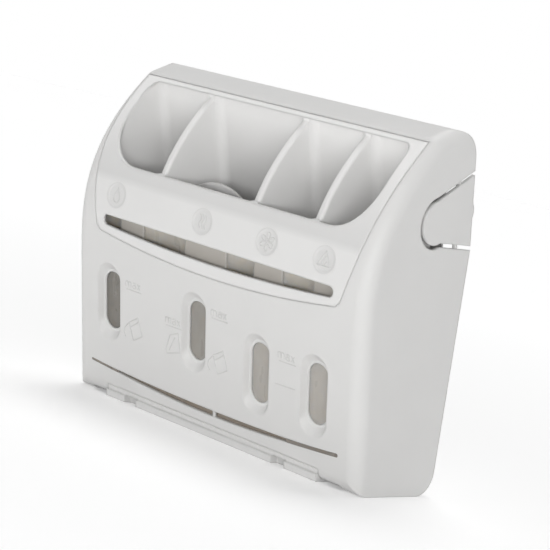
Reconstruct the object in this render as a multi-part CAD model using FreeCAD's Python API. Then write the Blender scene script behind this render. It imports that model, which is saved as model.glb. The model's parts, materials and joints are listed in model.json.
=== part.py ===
"""Detergent dispenser of a top-loading washing machine.

A tapered housing carries a hopper with four pockets. Behind its front panel sits a clear tank with
four chambers. The pieces are drawn in the panel's frame: X runs along the panel, Y goes to the rear,
Z goes up the panel and starts at its lower edge. At the end the whole is turned to stand on its base.
"""
import os
from math import cos, radians, sin, tan

import FreeCAD, Part
from FreeCAD import Placement, Rotation, Vector

# Housing
WIDTH = 256.0
WALL = 2.4
CORNER_RADIUS = 9.6
PANEL_HEIGHT = 91.0
BROW_RISE = 123.5
BROW_DEPTH = 65.0
ROOF_DEPTH = 37.0
ROOF_PITCH = 9.0
ROOF_RADIUS = 20.0
BASE_LENGTH = 80.0
BASE_RADIUS = 14.0
TOE_RADIUS = 14.0
OVERHANG = 18.0
REAR_LEAN = 9.0
SHOULDER_HEIGHT = 137.0
REAR_RIM_HEIGHT = 196.0

# Windows in the panel: share of the half width, height of the middle
WINDOW_SHARES = [(-0.738, 69.0), (-0.109, 69.0), (0.328, 56.0), (0.707, 56.0)]
WINDOW_WIDTH = 16.0
WINDOW_HEIGHT = 40.5
RECESS_WIDTH = 22.0
RECESS_HEIGHT = 55.0
RECESS_DEPTH = 4.6
RECESS_FLOOR = 1.2

# Crescent slot low in the panel
CRESCENT_MARGIN = 16.0
CRESCENT_HEIGHT = 23.0
CRESCENT_UPPER_BOW = 3.4
CRESCENT_LOWER_BOW = 7.6
RIB_PLACE = 5.3
RIB = 2.0

# Hopper
SEAM = 0.3
SKIN = 2.2
HOPPER_FOOT_MIDDLE = 109.0
HOPPER_FOOT_END = 118.0
HOPPER_FOOT_MARGIN = 21.5
HOPPER_TOP_MARGIN = 7.0
HOPPER_SIDE_BOW = 4.0
HOPPER_CORNER = 8.0
HOPPER_TOP_DROP = 2.0
MOUTH_BOTTOM = 162.5
MOUTH_TOP = 210.0
MOUTH_MARGIN = 15.5
MOUTH_CORNER = 28.0
MOUTH_TOP_CORNER = 6.0
MOUTH_REACH = 62.0
CHUTE_FRONT = 13.0
CHUTE_REAR = 66.0
CHUTE_LEAN = 7.0
CHUTE_FOOT = 133.0
SPOUT_SHARES = [(-0.742, -0.57), (-0.266, 0.027), (0.215, 0.406), (0.61, 0.766)]
SPOUT_FOOT = 100.0
SPOUT_DEPTH = 17.0
DIVIDER_SHARES = [-0.4766, 0.1758, 0.5758]
DIVIDER = 5.0
DIVIDER_EDGE = 1.8
CHUTE_WALL = 3.5
POCKET_RADIUS = 6.0
ICON_SHARES = [-0.7227, -0.0984, 0.3398, 0.7078]
ICON_HEIGHT = 143.6
ICON_RADIUS = 8.6
ICON_DEPTH = 0.7
SLOT_TOP = 129.5
SLOT_END = 122.4
SLOT_MIDDLE = 118.2
SLOT_MARGIN = 30.0

# Tank
TANK_WALL = 1.8
TANK_TOP = 108.0
LEDGE_FOOT = 13.2
LEDGE_TOP = 25.5
TANK_SIDE_GAP = 2.8
TANK_BASE_GAP = 3.0
TANK_REAR_GAP = 2.5
TANK_CORNER = 3.0
OUTLET_WIDTH = 22.0
OUTLET_HEIGHT = 9.0

# Siphons of the two liquid chambers
SIPHON_BORE = 6.0
SIPHON_WALL = 1.5
SIPHON_RISE = 46.0
CAP_GAP = 2.5
CAP_WALL = 1.4
CAP_HEAD = 4.0
CAP_LIFT = 3.0

# Partition that stands in the wash chamber
PARTITION_WALL = 2.0
PARTITION_RISE = 130.0
PARTITION_GAP = 0.3
PARTITION_FROM_FRONT = 34.0
HUMP_RADIUS = 37.0
HUMP_RISE = 36.0
HUMP_SHIFT = -13.0
HUMP_GAP = 3.0

# Release tabs
TAB_NOSE = 50.0
TAB_GAP = 2.6
TAB_TOP_FRONT = (66.0, 178.6)
TAB_TOP_REAR = 191.5
TAB_FOOT_FRONT = (70.0, 145.8)
TAB_FOOT_REAR = 134.0
TAB_NOSE_HEIGHT = 162.0
PIVOT_DEPTH = 89.5
PIVOT_INSET = 3.0
PIVOT_RADIUS = 1.6
PIVOT_CLEARANCE = 0.05
PIVOT_ENGAGED = 4.0
PIVOT_BOSS = 4.0
PIVOT_PLAY = 1.5
CATCH_RADIUS = 9.0
CATCH_REACH = 1.4

# Hinge rail under the panel
RAIL_MARGIN = 32.0
RAIL_HEIGHT = 8.6
RAIL_STEP = 3.2
RAIL_DEPTH = 12.0
RAIL_GAP = 0.3
HOOK_SHARES = [-0.61, 0.453]
HOOK_WIDTH = 11.0
HOOK_DEPTH = 5.0
PIN_RADIUS = 3.0
LEFT_PIN_RADIUS = 2.6
PIN_LENGTH = 9.0
PIN_SINK = 0.2
PIN_ROOM = 2.0
LID_HOOK = 6.0

# Rear cover
COVER = 2.0
COVER_GAP = 0.3
COVER_DROP = 6.0
COVER_NOTCH = 14.0
COVER_NOTCH_GAP = 8.0
INLET_WIDTH = 16.0
INLET_HEIGHT = 4.5
INLET_PITCH = 10.0
INLET_ROWS = 3

# Worked-out values
HALF = WIDTH / 2
BROW_TOP = PANEL_HEIGHT + BROW_RISE
REAR = BROW_DEPTH + ROOF_DEPTH
BASE_SLOPE = tan(radians(OVERHANG))
FOOT_Y = BASE_LENGTH * cos(radians(OVERHANG))
FOOT_Z = -BASE_LENGTH * sin(radians(OVERHANG))
INNER_HALF = HALF - WALL
PANEL_BACK = RECESS_DEPTH + RECESS_FLOOR
PIN_DEPTH = RAIL_DEPTH - PIN_RADIUS - PIN_ROOM / 2
PIN_HEIGHT = RAIL_HEIGHT - RAIL_STEP - PIN_RADIUS - PIN_SINK
WINDOW_PLACES = [(share * HALF, height) for share, height in WINDOW_SHARES]
DIVIDER_PLACES = [share * HALF for share in DIVIDER_SHARES]
ICON_PLACES = [share * HALF for share in ICON_SHARES]
HOOK_PLACES = [share * HALF for share in HOOK_SHARES]
CRESCENT_HALF = HALF - CRESCENT_MARGIN
HOPPER_FOOT_HALF = HALF - HOPPER_FOOT_MARGIN
HOPPER_TOP_HALF = HALF - HOPPER_TOP_MARGIN
MOUTH_HALF = HALF - MOUTH_MARGIN
SLOT_HALF = HALF - SLOT_MARGIN
RAIL_HALF = HALF - RAIL_MARGIN
FAR = 2 * WIDTH
NEAR = 0.01


def place(x, y, z):
    return Vector(x, y, z)


def box(x0, x1, y0, y1, z0, z1):
    return Part.makeBox(x1 - x0, y1 - y0, z1 - z0, place(x0, y0, z0))


def prism(edges, direction):
    """Solid swept from a closed ring of edges."""
    return Part.Face(Part.Wire(edges)).extrude(direction)


def line(a, b):
    return Part.LineSegment(a, b).toShape()


def arc(a, middle, b):
    return Part.Arc(a, middle, b).toShape()


def fuse(solids):
    return solids[0].multiFuse(solids[1:]).removeSplitter()


def brow_curve(inset):
    """Front of the brow, a cubic that leaves the panel upright and leans back to the roof."""
    slope = Vector(0, BROW_DEPTH, BROW_RISE / 3).normalize()
    end = place(0, BROW_DEPTH + inset * slope.z, BROW_TOP - inset * slope.y)
    start = place(0, inset, PANEL_HEIGHT)
    pull = end - slope * ((end.y - inset) / slope.y)
    curve = Part.BezierCurve()
    curve.setPoles([start, place(0, inset, PANEL_HEIGHT + BROW_RISE / 3), pull, end])
    return curve.toShape(), start, end


def rear_depth(z):
    """Depth of the leaning lower rear edge at a height."""
    return FOOT_Y + (z - FOOT_Z) * tan(radians(REAR_LEAN))


def along_x(solid, y, z):
    """Edges that run along X at a given place."""
    found = []
    for edge in solid.Edges:
        ends = [v.Point for v in edge.Vertexes]
        if len(ends) == 2 and all(abs(p.y - y) < NEAR and abs(p.z - z) < NEAR for p in ends):
            found.append(edge)
    return found


def side_view(inset, extra):
    """Prism of the side view, drawn in by a wall; extra moves its rear and its base outwards."""
    brow, start, brow_end = brow_curve(inset)
    half = HALF - inset
    rear = REAR - inset + extra
    roof = place(0, rear, brow_end.z + (rear - brow_end.y) * tan(radians(ROOF_PITCH)))
    shoulder = place(0, rear, SHOULDER_HEIGHT)
    foot = place(0, FOOT_Y - inset + extra, FOOT_Z - extra)
    toe = place(0, inset, rear_floor(inset) - extra)
    edges = [line(toe, start), brow, line(brow_end, roof), line(roof, shoulder),
             line(shoulder, foot), line(foot, toe)]
    solid = prism(edges, place(2 * half, 0, 0))
    solid.translate(place(-half, 0, 0))
    return solid, roof, foot, toe


def form(inset):
    """The housing's outer form, or the same form drawn in by a wall."""
    outline, roof, foot, toe = side_view(inset, 0)
    outline = outline.makeFillet(ROOF_RADIUS - inset, along_x(outline, roof.y, roof.z))
    outline = outline.makeFillet(BASE_RADIUS, along_x(outline, foot.y, foot.z))
    outline = outline.makeFillet(TOE_RADIUS - inset, along_x(outline, toe.y, toe.z))
    rounded = side_view(inset, CORNER_RADIUS)[0]
    rounded = rounded.makeFillet(CORNER_RADIUS - inset, front_edges(rounded, HALF - inset))
    return rounded.common(outline)


def front_edges(solid, half):
    """Edges that run down both ends of the roof, the brow and the panel."""
    found = []
    for edge in solid.Edges:
        ends = [v.Point for v in edge.Vertexes]
        on_end = all(abs(abs(p.x) - half) < NEAR for p in ends)
        upper = max(p.z for p in ends)
        forward = min(p.y for p in ends)
        if on_end and upper > SHOULDER_HEIGHT / 2 and forward < BROW_DEPTH + WALL:
            if min(p.z for p in ends) < BROW_TOP + WALL:
                found.append(edge)
    return found


def rear_floor(y):
    return -y * BASE_SLOPE


def stadium(x, z, width, height, y):
    """Upright stadium outline at a depth."""
    r = width / 2
    top = z + height / 2 - r
    foot = z - height / 2 + r
    return [line(place(x + r, y, foot), place(x + r, y, top)),
            arc(place(x + r, y, top), place(x, y, top + r), place(x - r, y, top)),
            line(place(x - r, y, top), place(x - r, y, foot)),
            arc(place(x - r, y, foot), place(x, y, foot - r), place(x + r, y, foot))]


def window_boss(x, z):
    width = RECESS_WIDTH + 2 * RECESS_FLOOR
    height = RECESS_HEIGHT + 2 * RECESS_FLOOR
    return prism(stadium(x, z, width, height, WALL / 2), place(0, PANEL_BACK - WALL / 2, 0))


def window_cut(x, z):
    """Recess that narrows from before the panel towards its hole, and the hole."""
    floor_width = WINDOW_WIDTH + 2 * RECESS_FLOOR
    floor_height = WINDOW_HEIGHT + 3 * RECESS_FLOOR
    ahead = WALL / RECESS_DEPTH
    mouth = Part.Wire(stadium(x, z, RECESS_WIDTH + ahead * (RECESS_WIDTH - floor_width),
                              RECESS_HEIGHT + ahead * (RECESS_HEIGHT - floor_height), -WALL))
    floor = Part.Wire(stadium(x, z, floor_width, floor_height, RECESS_DEPTH))
    recess = Part.makeLoft([mouth, floor], True)
    hole = prism(stadium(x, z, WINDOW_WIDTH, WINDOW_HEIGHT, 0), place(0, PANEL_BACK + WALL, 0))
    return fuse([recess, hole])


def crescent():
    """Slot between two bows that meet at its tips."""
    left = place(-CRESCENT_HALF, 0, CRESCENT_HEIGHT)
    right = place(CRESCENT_HALF, 0, CRESCENT_HEIGHT)
    upper = arc(left, place(0, 0, CRESCENT_HEIGHT - CRESCENT_UPPER_BOW), right)
    lower = arc(right, place(0, 0, CRESCENT_HEIGHT - CRESCENT_LOWER_BOW), left)
    cut = prism([upper, lower], place(0, 2 * WALL, 0))
    cut.translate(place(0, -WALL / 2, 0))
    return cut


def hopper_outline(gap):
    """Prism of the hopper's outline, seen along Y, drawn in by a gap."""
    foot = HOPPER_FOOT_HALF - gap
    top = HOPPER_TOP_HALF - gap
    low = HOPPER_FOOT_END + gap
    right_foot = place(foot, 0, low)
    left_foot = place(-foot, 0, low)
    high = BROW_TOP - HOPPER_TOP_DROP - gap
    right_top = place(top, 0, high)
    left_top = place(-top, 0, high)
    side = (foot + top) / 2 + HOPPER_SIDE_BOW
    half_way = (low + high) / 2
    edges = [arc(left_foot, place(0, 0, HOPPER_FOOT_MIDDLE + gap), right_foot),
             arc(right_foot, place(side, 0, half_way), right_top),
             line(right_top, left_top),
             arc(left_top, place(-side, 0, half_way), left_foot)]
    solid = prism(edges, place(0, BROW_DEPTH + CORNER_RADIUS, 0))
    upright = [e for e in solid.Edges
               if all(abs(abs(v.Point.x) - foot) < NEAR and abs(v.Point.z - low) < NEAR
                      for v in e.Vertexes)]
    solid = solid.makeFillet(HOPPER_CORNER, upright)
    solid.translate(place(0, -CORNER_RADIUS / 2, 0))
    return solid


def tab_outline(side, gap):
    """D-shaped prism through a side wall, drawn in by a gap."""
    x = side * HALF
    rear = REAR + 4 * TAB_GAP
    points = [place(x, rear, TAB_TOP_REAR), place(x, *TAB_TOP_FRONT),
              place(x, TAB_NOSE, TAB_NOSE_HEIGHT),
              place(x, *TAB_FOOT_FRONT), place(x, rear, TAB_FOOT_REAR)]
    ring = Part.Wire([line(points[0], points[1]), arc(points[1], points[2], points[3]),
                      line(points[3], points[4]), line(points[4], points[0])])
    if gap:
        ring = ring.makeOffset2D(-gap)
    solid = Part.Face(ring).extrude(place(-side * 2 * WALL, 0, 0))
    solid.translate(place(side * WALL / 2, 0, 0))
    return solid


def pivot_heights():
    """Heights of the tab's upper and lower edge at its pivot."""
    rise = (PIVOT_DEPTH - TAB_TOP_FRONT[0]) / (REAR + 4 * TAB_GAP - TAB_TOP_FRONT[0])
    upper = TAB_TOP_FRONT[1] + rise * (TAB_TOP_REAR - TAB_TOP_FRONT[1])
    fall = (PIVOT_DEPTH - TAB_FOOT_FRONT[0]) / (REAR + 4 * TAB_GAP - TAB_FOOT_FRONT[0])
    lower = TAB_FOOT_FRONT[1] + fall * (TAB_FOOT_REAR - TAB_FOOT_FRONT[1])
    return lower, upper


def pivot_boss(side):
    """Two blocks on the side wall that hold the tab's pivots."""
    lower, upper = pivot_heights()
    x = side * (HALF - PIVOT_INSET)
    reach = PIVOT_ENGAGED + 2 * TAB_GAP
    inner = x - side * PIVOT_BOSS
    outer = side * (HALF - WALL / 2)
    blocks = []
    for z0, z1 in ((lower - reach, lower - PIVOT_PLAY), (upper + PIVOT_PLAY, upper + reach)):
        blocks.append(box(min(inner, outer), max(inner, outer),
                          PIVOT_DEPTH - PIVOT_BOSS, PIVOT_DEPTH + PIVOT_BOSS, z0, z1))
    return blocks


def pivot_bore(side):
    lower, upper = pivot_heights()
    reach = PIVOT_ENGAGED + TAB_GAP
    return Part.makeCylinder(PIVOT_RADIUS + PIVOT_CLEARANCE, upper - lower + 2 * reach,
                             place(side * (HALF - PIVOT_INSET), PIVOT_DEPTH, lower - reach))


def pin_room(side):
    """Space round a hinge pin, long enough to slide the lid's hook on, open below."""
    x0 = side * RAIL_HALF
    x1 = side * (RAIL_HALF + PIN_LENGTH + LID_HOOK + PIN_ROOM)
    around = PIN_RADIUS + PIN_ROOM
    return box(min(x0, x1), max(x0, x1), PIN_DEPTH - around, RAIL_DEPTH + RAIL_GAP, -FAR,
               PIN_HEIGHT + around)


def crescent_rib():
    """Short rib that keeps the long slot from closing."""
    top = CRESCENT_HEIGHT - CRESCENT_UPPER_BOW + RIB / 2
    foot = CRESCENT_HEIGHT - CRESCENT_LOWER_BOW - RIB / 2
    return box(RIB_PLACE - RIB / 2, RIB_PLACE + RIB / 2, WALL / 4, WALL, foot, top)


def front_shell():
    """Housing: panel, brow, roof and side walls, open to the rear and below."""
    hollow = [form(WALL),
              box(-INNER_HALF, INNER_HALF, BROW_DEPTH, FAR, -FAR, REAR_RIM_HEIGHT),
              box(-INNER_HALF, INNER_HALF, TOE_RADIUS, FAR, -FAR, PANEL_HEIGHT / 3)]
    shell = form(0).cut(hollow)
    bosses = [window_boss(x, z) for x, z in WINDOW_PLACES]
    bosses += pivot_boss(-1) + pivot_boss(1)
    shell = fuse([shell] + bosses)
    cuts = [window_cut(x, z) for x, z in WINDOW_PLACES]
    cuts += [hopper_outline(0), crescent()]
    for side in (-1, 1):
        cuts += [tab_outline(side, 0), pivot_bore(side)]
    rail_room = RAIL_HALF + RAIL_GAP
    rail_back = RAIL_DEPTH + RAIL_GAP
    cuts.append(box(-rail_room, rail_room, -WALL, rail_back, -FAR, RAIL_HEIGHT + RAIL_GAP))
    cuts.append(box(-rail_room, rail_room, WALL, rail_back, -FAR, RAIL_HEIGHT + RAIL_STEP + RAIL_GAP))
    cuts += [pin_room(side) for side in (-1, 1)]
    return fuse([shell.cut(cuts), crescent_rib()])


def mouth_cut():
    """Opening of the pockets in the hopper's face."""
    cut = box(-MOUTH_HALF, MOUTH_HALF, -CORNER_RADIUS, MOUTH_REACH, MOUTH_BOTTOM, MOUTH_TOP)
    for radius, height in ((MOUTH_CORNER, MOUTH_BOTTOM), (MOUTH_TOP_CORNER, MOUTH_TOP)):
        along_y = [e for e in cut.Edges
                   if abs(e.Vertexes[0].Point.y - e.Vertexes[-1].Point.y) > CORNER_RADIUS
                   and abs(abs(e.CenterOfMass.x) - MOUTH_HALF) < NEAR
                   and abs(e.CenterOfMass.z - height) < NEAR]
        cut = cut.makeFillet(radius, along_y)
    return cut


def chute(x0, x1, foot, top, wall):
    """Block whose rear leans back towards the tank, thickened by a wall."""
    lean = tan(radians(CHUTE_LEAN))
    front = CHUTE_FRONT - wall
    points = [place(x0, front, foot), place(x0, CHUTE_REAR + wall + (MOUTH_TOP - foot) * lean, foot),
              place(x0, CHUTE_REAR + wall + (MOUTH_TOP - top) * lean, top), place(x0, front, top)]
    edges = [line(a, b) for a, b in zip(points, points[1:] + points[:1])]
    return prism(edges, place(x1 - x0, 0, 0))


def pockets():
    """The four pockets, each open towards the tank."""
    walls = [-MOUTH_HALF - DIVIDER / 2] + DIVIDER_PLACES + [MOUTH_HALF + DIVIDER / 2]
    cuts = []
    for left, right in zip(walls, walls[1:]):
        cut = chute(left + DIVIDER / 2, right - DIVIDER / 2, CHUTE_FOOT - DIVIDER, MOUTH_TOP, 0)
        upright = [e for e in cut.Edges if abs(e.Vertexes[0].Point.z - e.Vertexes[1].Point.z) > 1.0]
        cuts.append(cut.makeFillet(POCKET_RADIUS, upright))
    return cuts


def spout(share_left, share_right):
    """Upright channel that leads the flow of a pocket down into its chamber."""
    x0 = share_left * HALF
    x1 = share_right * HALF
    wall = CHUTE_WALL / 2
    front = CHUTE_FRONT - wall
    block = box(x0, x1, front, CHUTE_FRONT + SPOUT_DEPTH, SPOUT_FOOT, CHUTE_FOOT + CHUTE_WALL)
    return block.cut(box(x0 + wall, x1 - wall, CHUTE_FRONT, FAR, -FAR, FAR))


def divider(x):
    """Fin between two pockets, its front edge rounded."""
    fin = chute(x - DIVIDER / 2, x + DIVIDER / 2, CHUTE_FOOT, MOUTH_TOP, DIVIDER / 4)
    fin = fin.common(form(2 * SKIN))
    front = [e for e in fin.Edges
             if abs(abs(e.CenterOfMass.x - x) - DIVIDER / 2) < NEAR
             and MOUTH_BOTTOM < e.CenterOfMass.z < MOUTH_TOP - CHUTE_WALL
             and e.CenterOfMass.y < (CHUTE_FRONT + CHUTE_REAR) / 2]
    return fin.makeFillet(DIVIDER_EDGE, front)


def icon_cut(x):
    """Shallow round field, square to the brow."""
    rise = (ICON_HEIGHT - PANEL_HEIGHT) / BROW_RISE
    depth = BROW_DEPTH * rise ** 3
    slope = 3 * BROW_DEPTH * rise ** 2 / BROW_RISE
    outwards = Vector(0, -1, slope).normalize()
    seat = place(x, depth, ICON_HEIGHT) - outwards * ICON_DEPTH
    return Part.makeCylinder(ICON_RADIUS, 4 * ICON_DEPTH, seat, outwards)


def upper_slot():
    """Long slot with a straight upper and a bowed lower edge."""
    left_top = place(-SLOT_HALF, 0, SLOT_TOP)
    right_top = place(SLOT_HALF, 0, SLOT_TOP)
    left_low = place(-SLOT_HALF, 0, SLOT_END)
    right_low = place(SLOT_HALF, 0, SLOT_END)
    r = (SLOT_TOP - SLOT_END) / 2
    edges = [line(left_top, right_top),
             arc(right_top, place(SLOT_HALF + r, 0, SLOT_TOP - r), right_low),
             arc(right_low, place(0, 0, SLOT_MIDDLE), left_low),
             arc(left_low, place(-SLOT_HALF - r, 0, SLOT_TOP - r), left_top)]
    cut = prism(edges, place(0, CHUTE_FRONT, 0))
    cut.translate(place(0, -CHUTE_FRONT / 2, 0))
    return cut


def hopper():
    """Face that closes the brow, with the four pockets behind it."""
    face = form(0).common(hopper_outline(SEAM)).cut(form(SKIN))
    wall = CHUTE_WALL
    block = chute(-MOUTH_HALF - wall, MOUTH_HALF + wall, CHUTE_FOOT, MOUTH_TOP + wall / 2, wall / 2)
    behind = block.common(form(WALL + SEAM))
    joined = block.common(form(SKIN / 2)).common(hopper_outline(SEAM))
    whole = fuse([face, behind, joined])
    cuts = [upper_slot()] + [icon_cut(x) for x in ICON_PLACES]
    behind_face = form(SKIN)
    whole = whole.cut(cuts).cut([pocket.common(behind_face) for pocket in pockets()])
    dividers = [divider(x) for x in DIVIDER_PLACES]
    spouts = [spout(*shares) for shares in SPOUT_SHARES]
    return fuse([whole.cut(mouth_cut())] + dividers + spouts)


def tank_outline(inset, top):
    """Side view of the tank, drawn in by its wall, with a step that leaves room for the rail."""
    front = PANEL_BACK + inset
    floor = TANK_BASE_GAP + inset
    rear_gap = TANK_REAR_GAP + inset
    step_y = RAIL_DEPTH + RAIL_GAP + inset
    step_z = RAIL_HEIGHT + RAIL_STEP + RAIL_GAP + inset
    heel_z = FOOT_Z + floor + BASE_RADIUS
    heel = place(0, rear_depth(heel_z) - rear_gap, heel_z)
    foot_y = heel.y - BASE_RADIUS
    points = [place(0, front, top), place(0, min(rear_depth(top), REAR) - rear_gap, top), heel,
              place(0, foot_y, rear_floor(foot_y) + floor), place(0, step_y, rear_floor(step_y) + floor),
              place(0, step_y, step_z), place(0, front, step_z)]
    return [line(a, b) for a, b in zip(points, points[1:] + points[:1])]


def chamber_walls():
    half = INNER_HALF - TANK_SIDE_GAP
    return [-half + TANK_WALL / 2] + DIVIDER_PLACES + [half - TANK_WALL / 2]


def chamber(left, right):
    """Hollow of one chamber between two walls."""
    x0 = left + TANK_WALL / 2
    x1 = right - TANK_WALL / 2
    hollow = prism(tank_outline(TANK_WALL, TANK_TOP + TANK_WALL), place(x1 - x0, 0, 0))
    hollow.translate(place(x0, 0, 0))
    return hollow


def siphon_places():
    """Middle of the two liquid chambers, on the tank's floor."""
    walls = chamber_walls()
    y = PANEL_BACK + (FOOT_Y - PANEL_BACK) / 2
    z = rear_floor(y) + TANK_BASE_GAP
    return [place((walls[i] + walls[i + 1]) / 2, y, z) for i in (2, 3)]


def outlet_cut(left, right):
    """Low opening through the rear wall of a powder chamber."""
    x = (left + right) / 2
    z = FOOT_Z + BASE_RADIUS + TANK_BASE_GAP + TANK_WALL
    y = rear_depth(z)
    return box(x - OUTLET_WIDTH / 2, x + OUTLET_WIDTH / 2, y - 4 * TANK_WALL, y + TANK_WALL,
               z + TANK_WALL, z + TANK_WALL + OUTLET_HEIGHT)


def tank_block():
    """The tank's outer form, its two front edges rounded to clear the housing."""
    half = INNER_HALF - TANK_SIDE_GAP
    block = prism(tank_outline(0, TANK_TOP), place(2 * half, 0, 0))
    block.translate(place(-half, 0, 0))
    front = [e for e in block.Edges
             if all(abs(abs(v.Point.x) - half) < NEAR and abs(v.Point.y - PANEL_BACK) < NEAR
                    for v in e.Vertexes)]
    return block.makeFillet(TANK_CORNER, front)


def tank():
    """Milky tank with four chambers, two rear outlets, two siphon tubes and a ledge at the slot."""
    block = tank_block()
    walls = chamber_walls()
    spans = list(zip(walls, walls[1:]))
    tubes = []
    bores = []
    outer = SIPHON_BORE / 2 + SIPHON_WALL
    for seat in siphon_places():
        tubes.append(Part.makeCylinder(outer, SIPHON_RISE, seat).common(block))
        below = seat - place(0, 0, SIPHON_RISE / 2)
        bores.append(Part.makeCylinder(SIPHON_BORE / 2, 2 * SIPHON_RISE, below))
    ledge = box(-CRESCENT_HALF, CRESCENT_HALF, WALL + SEAM, PANEL_BACK + TANK_WALL / 2,
                LEDGE_FOOT, LEDGE_TOP)
    body = fuse([block.cut([chamber(left, right) for left, right in spans]), ledge] + tubes)
    return body.cut(bores + [outlet_cut(left, right) for left, right in spans[:2]])


def siphon_cap(seat):
    """Cup that stands over a siphon tube on four fins."""
    bore = SIPHON_BORE / 2 + SIPHON_WALL + CAP_GAP
    top = seat.z + SIPHON_RISE + CAP_GAP
    foot = seat.z + TANK_WALL + CAP_LIFT + bore * BASE_SLOPE
    base = place(seat.x, seat.y, foot)
    cup = Part.makeCylinder(bore + CAP_WALL, top + CAP_WALL - foot, base)
    cup = cup.cut(Part.makeCylinder(bore, top - foot, base))
    fins = []
    tube = SIPHON_BORE / 2 + SIPHON_WALL
    for turn in range(4):
        fin = box(tube + PARTITION_GAP / 3, bore + CAP_WALL / 2, -CAP_WALL / 2, CAP_WALL / 2, 0,
                  top + CAP_WALL / 2 - foot)
        fin.rotate(place(0, 0, 0), place(0, 0, 1), 90 * turn)
        fin.translate(base)
        fins.append(fin)
    knob = Part.makeCylinder(bore / 2, CAP_HEAD, place(seat.x, seat.y, top + CAP_WALL))
    seat_fins = []
    for turn in (0, 2):
        pad = box(tube - SIPHON_WALL, bore, -CAP_WALL / 2, CAP_WALL / 2, 0, CAP_GAP + CAP_WALL / 2)
        pad.rotate(place(0, 0, 0), place(0, 0, 1), 90 * turn)
        pad.translate(place(seat.x, seat.y, seat.z + SIPHON_RISE))
        seat_fins.append(pad)
    return fuse([cup, knob] + fins + seat_fins)


def wash_partition():
    """Loose wall that stands in the wash chamber, with a rounded grip on top."""
    walls = chamber_walls()
    x0 = walls[1] + TANK_WALL / 2 + PARTITION_GAP
    x1 = walls[2] - TANK_WALL / 2 - PARTITION_GAP
    y = PANEL_BACK + PARTITION_FROM_FRONT
    foot = rear_floor(y) + TANK_BASE_GAP + TANK_WALL
    wall = box(x0, x1, y, y + PARTITION_WALL, foot, foot + PARTITION_RISE)
    middle = (x0 + x1) / 2 + HUMP_SHIFT
    crown = foot + PARTITION_RISE + HUMP_RISE - HUMP_RADIUS
    hump = Part.makeCylinder(HUMP_RADIUS, PARTITION_WALL, place(middle, y, crown), place(0, 1, 0))
    hump = hump.common(box(x0 + HUMP_GAP, x1 - HUMP_GAP, y, y + PARTITION_WALL, foot, FAR))
    return fuse([wall, hump])


def release_tab(side):
    """Rocker in the side wall: a D-shaped plate with a rib, two pivots and a catch at its rear."""
    x = side * HALF
    inner = x - side * WALL
    plate = tab_outline(side, TAB_GAP)
    plate = plate.common(box(min(x, inner), max(x, inner), 0, REAR, 0, FAR))
    lower, upper = pivot_heights()
    axis = x - side * PIVOT_INSET
    reach = PIVOT_ENGAGED + TAB_GAP
    pin = Part.makeCylinder(PIVOT_RADIUS, upper - lower + 2 * reach, place(axis, PIVOT_DEPTH, lower - reach))
    rib_inner = axis - side * PIVOT_RADIUS
    middle = (lower + upper) / 2
    half_rib = (upper - lower) / 2 - 2 * TAB_GAP
    rib = box(min(inner + side * WALL / 2, rib_inner), max(inner + side * WALL / 2, rib_inner),
              PIVOT_DEPTH - PIVOT_BOSS / 2, PIVOT_DEPTH + PIVOT_BOSS / 2,
              middle - half_rib, middle + half_rib)
    catch_seat = place(min(x, inner), REAR + CATCH_REACH - CATCH_RADIUS, middle)
    catch = Part.makeCylinder(CATCH_RADIUS, WALL, catch_seat, place(1, 0, 0))
    return fuse([plate, pin, rib, catch])


def hinge_rail():
    """Stepped rail below the panel; its left pin is thinner, so that it hangs only one way round."""
    low = rear_floor(RAIL_DEPTH)
    steps = [box(-RAIL_HALF, RAIL_HALF, 2 * RAIL_GAP, WALL + RAIL_STEP, low, RAIL_HEIGHT),
             box(-RAIL_HALF, RAIL_HALF, -WALL / 2, RAIL_DEPTH, low, RAIL_HEIGHT - RAIL_STEP),
             box(-RAIL_HALF, RAIL_HALF, WALL, PANEL_BACK, low, RAIL_HEIGHT + RAIL_STEP)]
    rail = fuse(steps)
    notches = []
    for x in HOOK_PLACES:
        notches.append(box(x, x + HOOK_WIDTH, -HOOK_DEPTH, HOOK_DEPTH, -FAR, RAIL_HEIGHT - RAIL_STEP))
    floor = box(-HALF, HALF, -FAR / 4, FAR / 4, -FAR / 2, 0)
    floor.rotate(place(0, 0, 0), place(1, 0, 0), -OVERHANG)
    pins = []
    for side, radius in ((-1, LEFT_PIN_RADIUS), (1, PIN_RADIUS)):
        seat = place(side * (RAIL_HALF - WALL), PIN_DEPTH, PIN_HEIGHT)
        pins.append(Part.makeCylinder(radius, PIN_LENGTH + WALL, seat, place(side, 0, 0)))
    return fuse([rail] + pins).cut(notches + [floor])


def rear_cover():
    """Plate that closes the rear above the tank, with water inlets for each pocket."""
    low = TANK_TOP + COVER_GAP
    high = REAR_RIM_HEIGHT - COVER_GAP
    half = INNER_HALF - COVER_GAP
    plate = box(-half, half, REAR - COVER_DROP - COVER, REAR - COVER_DROP, low, high)
    for side in (-1, 1):
        plate = plate.cut(box(side * half - COVER_NOTCH, side * half + COVER_NOTCH, 0, FAR,
                              TAB_FOOT_REAR - COVER_NOTCH_GAP, TAB_TOP_REAR + COVER_NOTCH_GAP))
    inlets = []
    for x in ICON_PLACES:
        for row in range(INLET_ROWS):
            z = (low + high) / 2 + (row - (INLET_ROWS - 1) / 2) * INLET_PITCH
            inlets.append(box(x - INLET_WIDTH / 2, x + INLET_WIDTH / 2, 0, FAR, z - INLET_HEIGHT / 2,
                              z + INLET_HEIGHT / 2))
    return plate.cut(inlets)


def pieces():
    """Every piece by name, in the panel's frame."""
    softener, bleach = siphon_places()
    return {"front_shell": front_shell(), "hopper": hopper(), "tank": tank(),
            "softener_siphon_cap": siphon_cap(softener), "bleach_siphon_cap": siphon_cap(bleach),
            "wash_partition": wash_partition(), "release_tab_left": release_tab(-1),
            "release_tab_right": release_tab(1), "hinge_rail": hinge_rail(),
            "rear_cover": rear_cover()}


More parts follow.
